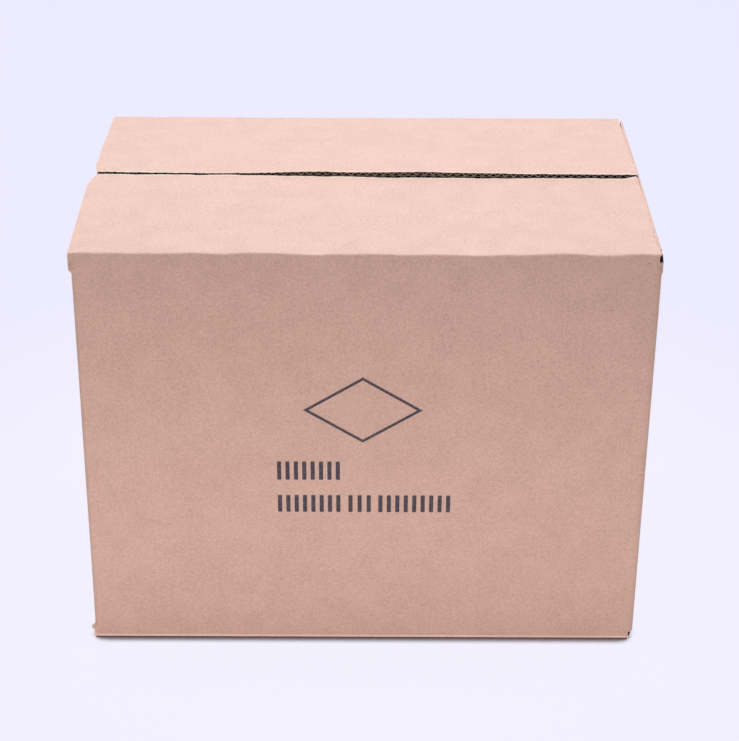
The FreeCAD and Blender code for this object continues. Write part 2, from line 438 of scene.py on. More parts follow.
class NodeBench:
    """A material's node tree, with short ways to add nodes."""

    def __init__(self, name: str) -> None:
        """Make a material with only a surface shader and its output."""
        self.material = bpy.data.materials.new(name)
        self.material.use_nodes = True
        self.tree = self.material.node_tree
        self.tree.nodes.clear()
        self.shader = self.add("ShaderNodeBsdfPrincipled")
        self.output = self.add("ShaderNodeOutputMaterial")
        self.link(self.shader.outputs["BSDF"], self.output.inputs["Surface"])
        self.place = self.add("ShaderNodeTexCoord").outputs["Object"]

    def add(self, kind: str, **settings: object) -> bpy.types.Node:
        """Add a node and set its properties."""
        node = self.tree.nodes.new(kind)
        for name, value in settings.items():
            setattr(node, name, value)
        return node

    def link(self, source: Socket, target: Socket) -> None:
        """Link an output to an input."""
        self.tree.links.new(source, target)

    def noise(self, place: Socket, scale: float, detail: float) -> Socket:
        """Return a noise value at a place."""
        node = self.add("ShaderNodeTexNoise")
        node.inputs["Scale"].default_value = scale
        node.inputs["Detail"].default_value = detail
        self.link(place, node.inputs["Vector"])
        return node.outputs["Fac"]

    def spread(self, value: Socket, low: float, high: float,
               to_low: float = 0.0, to_high: float = 1.0) -> Socket:
        """Return a value mapped from one range to another, held at its ends."""
        node = self.add("ShaderNodeMapRange", interpolation_type="SMOOTHSTEP")
        for name, number in (("From Min", low), ("From Max", high), ("To Min", to_low), ("To Max", to_high)):
            node.inputs[name].default_value = number
        self.link(value, node.inputs["Value"])
        return node.outputs["Result"]

    def sum(self, first: Socket, second: Socket) -> Socket:
        """Return the sum of two values."""
        return self.math("ADD", first, second)

    def times(self, value: Socket, factor: float) -> Socket:
        """Return a value times a factor."""
        return self.math("MULTIPLY", value, factor)

    def math(self, operation: str, first: Socket,
             second: "Socket | float") -> Socket:
        """Return the result of a math node."""
        node = self.add("ShaderNodeMath", operation=operation)
        self.link(first, node.inputs[0])
        if isinstance(second, float):
            node.inputs[1].default_value = second
        else:
            self.link(second, node.inputs[1])
        return node.outputs[0]

    def mix(self, share: Socket, first: "Colour | Socket",
            second: "Colour | Socket") -> Socket:
        """Return a colour between two others."""
        node = self.add("ShaderNodeMix", data_type="RGBA")
        self.link(share, node.inputs[0])
        for socket, colour in ((node.inputs[6], first), (node.inputs[7], second)):
            if isinstance(colour, tuple):
                socket.default_value = (*colour, 1.0)
            else:
                self.link(colour, socket)
        return node.outputs[2]

    def scatter(self, specks: "Specks", paper: Socket) -> Socket:
        """Return a colour with specks scattered over it."""
        cells = self.add("ShaderNodeTexVoronoi")
        cells.inputs["Scale"].default_value = specks.scale
        self.link(self.place, cells.inputs["Vector"])
        chance = self.add("ShaderNodeSeparateColor")
        self.link(cells.outputs["Color"], chance.inputs[0])
        near = self.spread(cells.outputs["Distance"], specks.radius, specks.radius * specks.core)
        shown = self.math("MULTIPLY", near, self.math("GREATER_THAN", chance.outputs[0], specks.rarity))
        return self.mix(self.times(shown, specks.share), paper, specks.colour)

    def surface(self, roughness: float, specular: float) -> None:
        """Set how rough the surface is and how much it mirrors."""
        self.shader.inputs["Roughness"].default_value = roughness
        self.shader.inputs["Specular IOR Level"].default_value = specular

    def bump(self, height: Socket, depth: float) -> None:
        """Give the shader a bump of that depth."""
        node = self.add("ShaderNodeBump")
        node.inputs["Strength"].default_value = 1.0
        node.inputs["Distance"].default_value = depth
        self.link(height, node.inputs["Height"])
        self.link(node.outputs["Normal"], self.shader.inputs["Normal"])


@dataclass(frozen=True)
class Specks:
    """Small marks scattered over paper, each in a cell of its own.

    There are scale cells to the metre, and rarity is the share of them that stays empty. A speck's radius is
    a share of its cell, and its core a share of its radius.
    """

    colour: Colour
    scale: float
    rarity: float
    radius: float
    share: float
    core: float = 0.4


@dataclass(frozen=True)
class KraftFinish:
    """Uncoated kraft liner over flutes that run across one axis."""

    name: str
    across: Axis
    dark: Colour = (0.540, 0.319, 0.244)
    light: Colour = (0.690, 0.428, 0.338)
    flecks: Specks = Specks((0.32, 0.18, 0.13), 170.0, 0.8, 0.13, 0.75)
    straws: Specks = Specks((0.80, 0.58, 0.46), 380.0, 0.88, 0.2, 0.5)
    clouds_share: float = 0.18
    relief: float = 0.035 * MM

    def build(self) -> Material:
        """Return the material."""
        bench = NodeBench(self.name)
        bench.surface(roughness=0.7, specular=0.5)
        cloudy = bench.spread(bench.noise(bench.place, 45.0, 2.0), 0.35, 0.65)
        grain = bench.spread(bench.noise(bench.place, 850.0, 3.0), 0.25, 0.75)
        shares = bench.sum(bench.times(cloudy, self.clouds_share), bench.times(grain, 1 - self.clouds_share))
        paper = bench.mix(shares, self.dark, self.light)
        for specks in (self.flecks, self.straws):
            paper = bench.scatter(specks, paper)
        bench.link(paper, bench.shader.inputs["Base Color"])
        split = bench.add("ShaderNodeSeparateXYZ")
        bench.link(bench.place, split.inputs[0])
        turn = bench.times(split.outputs[self.across.value], math.tau / Board().fine_pitch)
        flutes = bench.math("SINE", turn, 0.0)
        bench.bump(bench.sum(bench.times(grain, 0.6), bench.times(flutes, 0.3)), self.relief)
        return bench.material


@dataclass(frozen=True)
class GrainFinish:
    """A plain coat between two colours, such as the painted shade on the waves or the ink of the print."""

    name: str
    dark: Colour
    light: Colour
    roughness: float = 0.85
    specular: float = 0.2
    scale: float = 500.0
    low: float = 0.3
    high: float = 0.7
    relief: float = 0.04 * MM

    def build(self) -> Material:
        """Return the material."""
        bench = NodeBench(self.name)
        bench.surface(self.roughness, self.specular)
        grain = bench.spread(bench.noise(bench.place, self.scale, 4.0), self.low, self.high)
        bench.link(bench.mix(grain, self.dark, self.light), bench.shader.inputs["Base Color"])
        bench.bump(grain, self.relief)
        return bench.material


@dataclass(frozen=True)
class Finishes:
    """The materials of the carton."""

    long_kraft: Material
    end_kraft: Material
    rubbed_highlit: Material
    worn_fold: Material
    flute: Material
    tip: Material
    shade: Material
    ink: Material

    @classmethod
    def build(cls) -> "Finishes":
        """Make each material once."""
        return cls(
            KraftFinish("kraft_liner_long", Axis.X).build(),
            KraftFinish("kraft_liner_end", Axis.Y).build(),
            # the rim of the free edge: rubbed kraft with a painted highlight
            KraftFinish("rubbed_kraft", Axis.X, (0.61, 0.44, 0.345), (0.67, 0.53, 0.43)).build(),
            # the round of the bottom fold, lighter as painted bounce light from the floor
            KraftFinish("worn_fold", Axis.X, (0.74, 0.50, 0.41), (0.86, 0.60, 0.50)).build(),
            # the waves, painted near black as the shade inside the flutes
            GrainFinish("fluting_paper", (0.040, 0.027, 0.021), (0.090, 0.062, 0.047)).build(),
            GrainFinish("cut_tips", (0.50, 0.37, 0.29), (0.82, 0.68, 0.56)).build(),
            GrainFinish("shaded_liner", (0.014, 0.010, 0.009), (0.028, 0.020, 0.017)).build(),
            GrainFinish(
                "printing_ink", (0.050, 0.036, 0.050), (0.105, 0.072, 0.080), roughness=0.6, specular=0.3,
                scale=700.0, low=0.4, high=0.72, relief=0.02 * MM,
            ).build(),
        )


@dataclass
class LongPanel:
    """The front or back panel with its top and bottom flap, modelled at the front and turned to its side.

    Ends, clips, curls and nicks are given as seen from outside, left first.
    """

    side: Side
    carton: Carton
    finishes: Finishes
    top_ends: tuple[float, float]
    bottom_ends: tuple[float, float]
    bottom_cuts: tuple[float, float]
    free_ends: tuple[float, float]
    clip_depths: tuple[float, float]
    curls: tuple[float, float]
    nicks: tuple[tuple[float, ...], tuple[float, ...]]
    lifts: tuple[float, ...]
    crease_unevenness: float
    lip: float = 0.0
    corner_void: bool = False
    board: Board = Board()
    wall_end: float = 10.0 * MM
    flute_depth: float = 25.0 * MM
    flute_margin: float = 1.3 * MM
    side_recess: float = 0.8 * MM
    grid: float = 6.0 * MM
    fold_radius: float = 1.6 * MM
    corner_radius: float = 1.0 * MM
    highlit_rim: float = 2.0 * MM
    bounce_lit_height: float = 2.9 * MM
    curl_reach: float = 10.0 * MM
    bruise: float = 0.8 * MM
    bruise_grain: float = 9.0 * MM
    chafe: float = 0.64 * MM
    chafe_grain: float = 14.0 * MM
    crease_grain: float = 30.0 * MM
    nick_width: float = 1.3 * MM
    nick_depth: float = 0.8 * MM
    blend_reach: float = 2.6 * MM
    clip_steps: tuple[float, ...] = (1.0, 0.55, 0.2, 0.0)
    edge_cuts: tuple[float, ...] = (3.2 * MM, 6.5 * MM, 10.0 * MM)

    @property
    def name(self) -> str:
        """Name of the panel."""
        return f"{self.side.value}_panel"

    @property
    def outer(self) -> float:
        """Y of the outer face, at the front."""
        return -self.carton.half_width

    @property
    def inner(self) -> float:
        """Y of the inner face."""
        return self.outer + self.board.thickness

    @property
    def free(self) -> float:
        """Y of the flaps' free edges."""
        return -self.carton.seam / 2

    @property
    def wall_half(self) -> float:
        """Half the length of the wall between the two end panels."""
        return self.carton.half_length - self.wall_end

    def flaps(self) -> tuple[tuple[float, float, float, float], ...]:
        """Return each flap's outer level, the way inwards from it, and where its free edge shows flutes."""
        return tuple(
            (level, way, ends[0] + self.flute_margin, ends[1] - self.flute_margin)
            for level, way, ends in (
                (self.carton.height, -1.0, self.free_ends),
                (0.0, 1.0, self.bottom_cuts),
            )
        )

    def build(self) -> bpy.types.Object:
        """Shape the panel, dress it and return it."""
        piece = self.block_out()
        self.clip_corners(piece)
        self.round_folds(piece)
        self.divide(piece)
        self.cut_nicks(piece)
        self.open_edges(piece)
        self.paint_rim_and_fold_light(piece)
        if self.corner_void:
            self.sink_corner(piece)
        if self.lip:
            self.raise_lip(piece)
        piece.join(self.flute_rows())
        self.spring(piece)
        if self.side is Side.BACK:
            piece.turn(math.pi)
        piece.smooth()
        return self.hang(piece)

    def block_out(self) -> Workpiece:
        """Extrude the wall, both fold blocks and both flaps from one block."""
        board, top = self.board.thickness, self.carton.height
        low = Vector((-self.wall_half, self.outer, board))
        high = Vector((self.wall_half, self.inner, top - board))
        piece = Workpiece(self.name, low, high)
        finishes = self.finishes
        piece.coat(finishes.long_kraft, finishes.shade, finishes.rubbed_highlit, finishes.worn_fold)
        for level, way, ends in ((top - board, 1, self.top_ends), (board, -1, self.bottom_ends)):
            piece.pick_faces(lambda centre, normal: normal.z * way > FACING and abs(centre.z - level) < MM)
            piece.extrude(Axis.Z, board * way)
            middle = level + way * board / 2
            for end, place in zip(End, ends):
                piece.pick_faces(
                    lambda centre, normal: normal.x * end.value > FACING and abs(centre.z - middle) < MM
                )
                piece.extrude(Axis.X, place - end.value * self.wall_half)
            piece.pick_faces(lambda centre, normal: normal.y > FACING and abs(centre.z - middle) < MM)
            piece.extrude(Axis.Y, self.free - self.inner)
        return piece

    def clip_corners(self, piece: Workpiece) -> None:
        """Slant the ends of the bottom fold, and curve those of the top flap back to its free edge."""
        for end, place, cut in zip(End, self.bottom_ends, self.bottom_cuts):
            piece.pick_points(lambda point: abs(point.z) < NEAR and abs(point.x - place) < NEAR)
            piece.shift(Vector((cut - place, 0, 0)))
        top = self.carton.height - 1.5 * self.board.thickness
        for end, place, tip, depth in zip(End, self.top_ends, self.free_ends, self.clip_depths):
            for share in self.clip_steps:
                level = self.free - depth * share
                if 0.0 < share < 1.0:
                    piece.cut(Axis.Y, (level,), lambda centre, normal: centre.z > top)
                elif share:
                    piece.cut(Axis.Y, (level,))
                piece.pick_points(
                    lambda point: abs(point.y - level) < NEAR and point.z > top
                    and point.x * end.value > 0.9 * self.carton.half_length
                )
                piece.shift(Vector(((tip - place) * (1 - share) ** 2, 0, 0)))

    def round_folds(self, piece: Workpiece) -> None:
        """Round the two level folds, and the corners of the top flap."""
        for level in (self.carton.height, 0.0):
            piece.pick_edges(
                lambda first, last: abs(first.z - level) < MM and abs(last.z - level) < MM
                and abs(first.y - self.outer) < MM and abs(last.y - self.outer) < MM
            )
            piece.bevel(self.fold_radius, 4)
        piece.pick_edges(
            lambda first, last: abs(first.z - last.z) > 5 * MM and first.z > self.carton.height / 2
            and abs(first.y - self.free) < MM and abs(first.x - last.x) < NEAR
        )
        piece.bevel(self.corner_radius, 2)

    def divide(self, piece: Workpiece) -> None:
        """Cut the panel into a grid fine enough to bend, and along the liners."""
        steps = int(self.carton.half_length / self.grid)
        piece.cut(Axis.X, (index * self.grid for index in range(-steps, steps + 1)))
        flap_steps = int(self.carton.half_width / (2 * self.grid))
        piece.cut(Axis.Y, (-index * 2 * self.grid for index in range(1, flap_steps)))
        piece.cut(Axis.Y, (self.free - self.highlit_rim,))
        top = self.carton.height
        levels = [level for lower, upper, _ in self.board.bands(top, -1.0) for level in (upper, lower)]
        piece.cut(Axis.Z, levels)
        piece.cut(Axis.Z, [top - level for level in levels])
        piece.cut(Axis.Z, [top - self.board.thickness - index * 3 * MM for index in range(1, 6)])

    def cut_nicks(self, piece: Workpiece) -> None:
        """Dent the ends of the top flap in a few places, where handling has bruised the board."""
        top, reach = self.carton.height - self.board.thickness, self.carton.half_length - 9 * MM
        for end, places in zip(End, self.nicks):
            for place in places:
                piece.cut(
                    Axis.Y, (place - self.nick_width, place, place + self.nick_width),
                    lambda centre, normal: centre.x * end.value > reach and centre.z > top,
                )
                piece.pick_points(
                    lambda point: abs(point.y - place) < NEAR and point.x * end.value > reach + 3 * MM
                    and point.z > top + 0.5 * self.board.thickness
                )
                piece.shift(Vector((-end.value * self.nick_depth, 0, -0.3 * self.nick_depth)))

    def open_edges(self, piece: Workpiece) -> None:
        """Open the rows of flutes at the free edges, and sink them a little at the flaps' ends."""
        free = self.free
        for level, way, left, right in self.flaps():
            piece.cut(
                Axis.X, (left, right),
                lambda centre, normal: normal.y > LEANING and centre.y > free - MM
                and abs(centre.z - level) < self.board.thickness,
            )
            for lower, upper, _ in self.board.bands(level, way):
                piece.pick_faces(
                    lambda centre, normal: normal.y > LEANING and centre.y > free - MM
                    and between(centre.z, lower, upper) and between(centre.x, left, right)
                )
                piece.sink(Axis.Y, -self.flute_depth)
                for end in End:
                    piece.pick_faces(
                        lambda centre, normal: normal.x * end.value > LEANING and abs(normal.y) < 0.15
                        and between(centre.z, lower, upper) and between(centre.y, self.inner, free - 3 * MM)
                        and centre.x * end.value > self.wall_half + MM
                    )
                    piece.sink(Axis.X, -end.value * self.side_recess)
        piece.cut(Axis.Y, [free - distance for distance in self.edge_cuts])

    def paint_rim_and_fold_light(self, piece: Workpiece) -> None:
        """Give the rim of the free edge the lighter kraft, rubbed and with a painted highlight, and the
        round of the bottom fold the lighter kraft of painted bounce light.
        """
        top = self.carton.height - 0.2 * MM
        rim = self.free - self.highlit_rim
        # the rubbed rim with a painted highlight along the free edge
        piece.pick_faces(
            lambda centre, normal: abs(normal.z) > LEANING and centre.z > top and centre.y > rim
        )
        piece.paint(RUBBED_HIGHLIT)
        # painted bounce light from the floor on the downward round of the bottom fold
        piece.pick_faces(
            lambda centre, normal: normal.y < -0.2 and centre.z < self.bounce_lit_height and centre.y < self.inner
        )
        piece.paint(BOUNCE_LIT)

    def sink_corner(self, piece: Workpiece) -> None:
        """Sink a hole beside the bottom right corner, where the folded board has come apart, with painted
        shade inside.
        """
        start = self.bottom_cuts[1] - 0.4 * MM
        coarse_row = (self.board.liner + self.board.fine_height, self.board.thickness)

        def on_corner(centre: Vector, normal: Vector) -> bool:
            return normal.y < -FACING and between(centre.z, *coarse_row) and centre.y < self.inner

        piece.cut(
            Axis.X, (start,),
            lambda centre, normal: on_corner(centre, normal) and centre.x > start - self.grid,
        )
        piece.pick_faces(lambda centre, normal: on_corner(centre, normal) and centre.x > start)
        piece.inset(0.3 * MM)
        piece.sink(Axis.Y, 3 * MM)

    def raise_lip(self, piece: Workpiece) -> None:
        """Flick the outer liner up and outwards at the right end of the top crease."""
        top = self.carton.height - 1.0 * MM
        piece.pick_points(
            lambda point: point.z > top and point.y < self.inner + MM and point.x > self.top_ends[1] - MM
        )
        piece.shift(Vector((self.lip, 0, 0.6 * self.lip)))

    def flute_rows(self) -> list[Workpiece]:
        """Return the waves of both flaps, between the liners of their free edges."""
        rows = []
        for level, way, left, right in self.flaps():
            for lower, upper, pitch in self.board.bands(level, way):
                low = Vector((left, self.free - self.flute_depth, lower))
                high = Vector((right, self.free - SETBACK, upper))
                rows.append(FluteRow(f"{self.name}_flutes", low, high, pitch, self.finishes))
        return rows

    def spring(self, piece: Workpiece) -> None:
        """Spring the top flap up towards its free edge, curl its corners and make its crease uneven."""
        top, board = self.carton.height, self.board.thickness
        flap = self.carton.half_width - board

        def lift(point: Vector) -> float:
            if point.z < top - 1.5 * board:
                return 0.0
            along = max(0.0, (point.y - self.inner) / flap)
            share = (point.x + self.carton.half_length) / (2 * self.carton.half_length)
            curl = self.curls[point.x > 0] * smooth_step(point.y, self.free - self.curl_reach, self.free)
            end = self.carton.half_length
            corner = smooth_step(abs(point.x), end - 14 * MM, end - 3 * MM)
            return along * smooth_heights(self.lifts, share) + curl * corner

        def crease(point: Vector) -> float:
            rise = smooth_step(point.z, top - 2 * board, top - board)
            inwards = max(0.0, min(1.0, (point.y - self.outer) / flap))
            return rise * (1.0 - 0.75 * smooth_step(inwards, 0.05, 0.5))

        def edge(point: Vector) -> float:
            upper = 1.0 if point.z > top - 1.5 * board else 0.0
            return upper * smooth_step(point.y, self.free - 4 * MM, self.free - 0.5 * MM)

        piece.displace(Axis.Z, self.bruise, piece.weigh("bruise", edge), self.bruise_grain)
        piece.displace(Axis.Y, self.chafe, piece.weigh("chafe", edge), self.chafe_grain)
        piece.press(Axis.Z, "lift", lift)
        weights = piece.weigh("crease", crease)
        piece.displace(Axis.Z, 2 * self.crease_unevenness, weights, self.crease_grain)

    def hang(self, piece: Workpiece) -> bpy.types.Object:
        """Bake the panel's place into its mesh, let it stand for the body and its top flap, and return it.
        """
        flap = f"{self.side.value}_flap"
        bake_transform(piece.object)
        return piece.stand_as("carton_body", f"top_{flap}")


@dataclass
class EndPanel:
    """The left or right panel, with the two upright folds beside it and its inner flaps."""

    end: End
    carton: Carton
    finishes: Finishes
    crest: float
    bottom_fold: float
    bulge: tuple[float, ...]
    shoulder: float
    shoulder_end: float
    lean: float
    ear: float
    waist: float = 0.0
    crest_rises: tuple[float, ...] = (0.0, 0.0)
    board: Board = Board()
    leg: float = 10.0 * MM
    slot: float = 10.5 * MM
    flap_length: float = 138.5 * MM
    crest_inside: float = 213.9 * MM
    crest_reach: float = 4.0 * MM
    crest_round: float = 0.6 * MM
    rim: float = 0.6 * MM
    pit: float = 4.0 * MM
    shoulder_drop: float = 8.0 * MM
    shoulder_fade: float = 16.0 * MM
    ear_height: float = 3.0 * MM
    waist_height: float = 60.0 * MM
    flute_depth: float = 15.0 * MM
    flute_margin: float = 1.5 * MM

    @property
    def name(self) -> str:
        """Name of the panel."""
        return f"{self.end.name.lower()}_panel"

    @property
    def top(self) -> float:
        """Z of the wall's upper edge, under the outer flaps."""
        return self.carton.height - self.board.thickness

    @property
    def flap_half(self) -> float:
        """Half the width of the inner flaps, between the slots."""
        return self.carton.half_width - self.slot

    @property
    def outside(self) -> float:
        """A little less than the distance of the outer face from the middle."""
        return self.carton.half_length - NEAR

    def across(self, distance: float) -> float:
        """Return the X at a distance from the middle, on this panel's side."""
        return self.end.value * distance

    def faces_in(self, normal: Vector) -> bool:
        """Return whether a face looks towards the middle of the carton."""
        return normal.x * self.end.value < -FACING

    def build(self) -> bpy.types.Object:
        """Shape the panel and dress it."""
        piece = self.block_out()
        self.fold_flaps(piece)
        self.round_folds(piece)
        self.open_slots(piece)
        self.open_edges(piece)
        piece.join(self.flute_rows())
        piece.press(Axis.Z, "crest", self.rise)
        piece.press(Axis.X, "bulge", self.swelling)
        piece.smooth()
        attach(piece.object, "carton")
        return piece.stand_as("carton_body")

    def block_out(self) -> Workpiece:
        """Make the wall, and extrude the legs that meet the long panels."""
        carton, board = self.carton, self.board.thickness
        ends = sorted((self.across(carton.half_length), self.across(carton.half_length - board)))
        low = Vector((ends[0], -carton.half_width, board))
        high = Vector((ends[1], carton.half_width, self.top))
        piece = Workpiece(self.name, low, high)
        piece.coat(self.finishes.end_kraft, self.finishes.shade)
        piece.pick_edges(
            lambda first, last: abs(first.z - last.z) > 0.5 * MM
            and min(abs(first.x), abs(last.x)) > self.outside
        )
        piece.bevel(carton.upright_fold, 5)
        side_wall = carton.half_width - board
        piece.cut(Axis.Y, (-side_wall, -self.flap_half, self.flap_half, side_wall))
        piece.pick_faces(lambda centre, normal: self.faces_in(normal) and abs(centre.y) > side_wall)
        piece.extrude(Axis.X, self.across(board - self.leg))
        return piece

    def fold_flaps(self, piece: Workpiece) -> None:
        """Extrude the inner flaps and the crest of the top fold."""
        board, top, free = self.board.thickness, self.top, self.flap_half
        piece.cut(Axis.Z, (2 * board, top - board))
        piece.cut(
            Axis.X, (self.across(self.crest_inside),),
            lambda centre, normal: normal.z > FACING and abs(centre.y) < free,
        )
        for low, high in ((board, 2 * board), (top - board, top)):
            piece.pick_faces(
                lambda centre, normal: self.faces_in(normal) and between(centre.z, low, high)
                and abs(centre.y) < free
            )
            piece.extrude(Axis.X, self.across(board - self.flap_length))
        if self.crest:
            piece.pick_faces(
                lambda centre, normal: normal.z > FACING and abs(centre.y) < free
                and abs(centre.x) > self.crest_inside
            )
            piece.extrude(Axis.Z, self.crest)
            # painted shade on the crest's ends, seen through the slots
            piece.pick_faces(lambda centre, normal: abs(normal.y) > FACING and centre.z > top + NEAR)
            piece.paint(SHADE)
            piece.pick_points(lambda point: point.z > top + NEAR and abs(point.y - free) < NEAR)
            piece.shift(Vector((0, self.crest_reach, 0)))
            steps = 2 * len(self.crest_rises)
            piece.cut(
                Axis.Y, [free * (2 * index / steps - 1) for index in range(1, steps)],
                lambda centre, normal: centre.z > top + NEAR,
            )

    def round_folds(self, piece: Workpiece) -> None:
        """Round the fold at the bottom and the crest of the top fold."""
        free = self.flap_half + NEAR
        folds = ((self.board.thickness, self.bottom_fold), (self.top + self.crest, self.crest_round))
        for level, width in folds:
            piece.pick_edges(
                lambda first, last: abs(first.z - level) < NEAR and abs(last.z - level) < NEAR
                and min(abs(first.x), abs(last.x)) > self.outside and max(abs(first.y), abs(last.y)) < free
            )
            piece.bevel(width, 3)

    def open_slots(self, piece: Workpiece) -> None:
        """Sink the cut edges at the slots between their liners, and stand the outer liner up beside them."""
        def on_top(centre: Vector, normal: Vector) -> bool:
            return normal.z > FACING and abs(centre.z - self.top) < NEAR

        for way in (-1, 1):
            piece.pick_faces(
                lambda centre, normal: on_top(centre, normal) and centre.y * way > self.flap_half
            )
            piece.inset(self.rim)
            piece.sink(Axis.Z, -self.pit)
        piece.pick_faces(
            lambda centre, normal: on_top(centre, normal) and centre.y < -self.flap_half
            and abs(centre.x) > self.carton.half_length - 1.2 * self.rim
        )
        piece.extrude(Axis.Z, self.board.thickness - 1.0 * MM)
        # painted shade on the standing rim's front faces, for the dark slot beside the corner
        piece.pick_faces(
            lambda centre, normal: normal.y < -FACING and centre.z > self.top + NEAR
            and centre.y < -self.flap_half
        )
        piece.paint(SHADE)
        piece.cut(Axis.Y, [self.shoulder_end - share * self.shoulder_fade for share in (0.0, 0.5, 1.0)])
        if self.waist:
            piece.cut(Axis.Y, [place * MM for place in (-90.0, -60.0, -30.0, 0.0, 30.0, 60.0, 90.0)])
        piece.cut(Axis.Z, [self.top - index * 2.0 * MM for index in range(1, 9)])
        piece.cut(Axis.Z, [self.board.thickness + share * self.ear_height for share in (0.35, 0.7, 1.0)])
        piece.cut(Axis.Z, [self.top - 30 * MM - index * 40 * MM for index in range(7)])

    def open_edges(self, piece: Workpiece) -> None:
        """Open the rows of flutes at the free edges of the inner flaps."""
        half, edge = self.flap_half - self.flute_margin, self.carton.half_length - self.flap_length

        def on_edge(centre: Vector, normal: Vector) -> bool:
            return self.faces_in(normal) and abs(centre.x - self.across(edge)) < NEAR

        piece.cut(Axis.Y, (-half, half), on_edge)
        for lower, upper, _ in self.bands():
            piece.cut(Axis.Z, (lower, upper), on_edge)
            piece.pick_faces(
                lambda centre, normal: on_edge(centre, normal) and between(centre.z, lower, upper)
                and abs(centre.y) < half
            )
            piece.sink(Axis.X, self.across(self.flute_depth))

    def flute_rows(self) -> list[Workpiece]:
        """Return the waves in the free edges of the inner flaps, turned to this side."""
        half, edge = self.flap_half - self.flute_margin, self.flap_length - self.carton.half_length
        rows = []
        for lower, upper, pitch in self.bands():
            low = Vector((-half, edge - self.flute_depth, lower))
            high = Vector((half, edge - SETBACK, upper))
            rows.append(FluteRow(f"{self.name}_flutes", low, high, pitch, self.finishes))
            rows[-1].turn(self.across(math.pi / 2))
        return rows

    def bands(self) -> list[tuple[float, float, float]]:
        """Return the lower and upper level of each row of flutes in both inner flaps, and its pitch."""
        pairs = zip(self.board.bands(self.top, -1.0), self.board.bands(self.board.thickness, 1.0))
        return [band for pair in pairs for band in pair]

    def swelling(self, point: Vector) -> float:
        """Return how far a point of the outer face stands outwards of the plain wall, along X."""
        half, rim = self.carton.half_length, self.carton.half_length - self.rim
        if abs(point.y) < self.flap_half:
            inside = self.crest_inside
        elif between(point.z, self.top - self.pit - MM, self.top + NEAR):
            inside = rim - NEAR
        else:
            inside = half - 5 * MM
        step = smooth_step(point.z, self.top - self.shoulder_drop - 2 * MM, self.top - self.shoulder_drop)
        step *= 1.0 - smooth_step(point.y, self.shoulder_end - self.shoulder_fade, self.shoulder_end)
        if point.z > self.top + MM and abs(point.y) < self.flap_half + 2 * self.crest_reach:
            step = 0.0
        low = self.board.thickness
        ear = 1.0 - smooth_step(point.z, low + 0.3 * self.ear_height, low + self.ear_height)
        if point.y > 5 * MM - self.carton.half_width:
            ear = 0.0
        push = smooth_heights(self.bulge, point.z / self.carton.height)
        push += self.shoulder * step + self.ear * ear
        push -= self.lean * smooth_step(point.z, self.top, self.top + 1.2 * low) + 0.25 * self.rise(point)
        middle = 1.0 - smooth_step(abs(point.y), 20 * MM, 100 * MM)
        push -= self.waist * middle * smooth_step(point.z, self.top - self.waist_height, self.top)
        return self.across(push * smooth_step(abs(point.x), inside, rim))

    def rise(self, point: Vector) -> float:
        """Return how far a point of the crest stands above its ends."""
        share = (point.y + self.flap_half) / (2 * self.flap_half)
        on_crest = smooth_step(point.z, self.top + MM, self.top + 3 * MM)
        return on_crest * smooth_heights(self.crest_rises, share)


@dataclass
class GluedTab:
    """The tab that closes the blank into a tube, crushed and glued inside the back left corner."""

    carton: Carton
    finishes: Finishes
    board: Board = Board()
    width: float = 35.0 * MM
    thickness: float = 3.5 * MM
    taper: float = 12.0 * MM
    low: float = 22.0 * MM
    high: float = 315.0 * MM

    def build(self) -> bpy.types.Object:
        """Cut the tab, slant its two ends and press its free edges flat."""
        left = self.board.thickness - self.carton.half_length
        wall = self.carton.half_width - self.board.thickness
        low = Vector((left, wall - self.thickness, self.low))
        high = Vector((left + self.width, wall, self.high))
        piece = Workpiece("glued_tab", low, high)
        piece.coat(self.finishes.end_kraft)
        for level, way in ((self.low, 1), (self.high, -1)):
            piece.pick_points(lambda point: abs(point.z - level) < NEAR and point.x > left + MM)
            piece.shift(Vector((0, 0, way * self.taper)))
        piece.pick_faces(lambda centre, normal: normal.y < -FACING)
        piece.inset(3.0 * MM)
        piece.pick_edges(
            lambda first, last: max(first.y, last.y) < wall - 0.9 * self.thickness
            and min(first.x, last.x) > left + self.width - NEAR
        )
        piece.bevel(1.6 * MM, 3)
        piece.smooth()
        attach(piece.object, "carton")
        return piece.stand_as("carton_body")


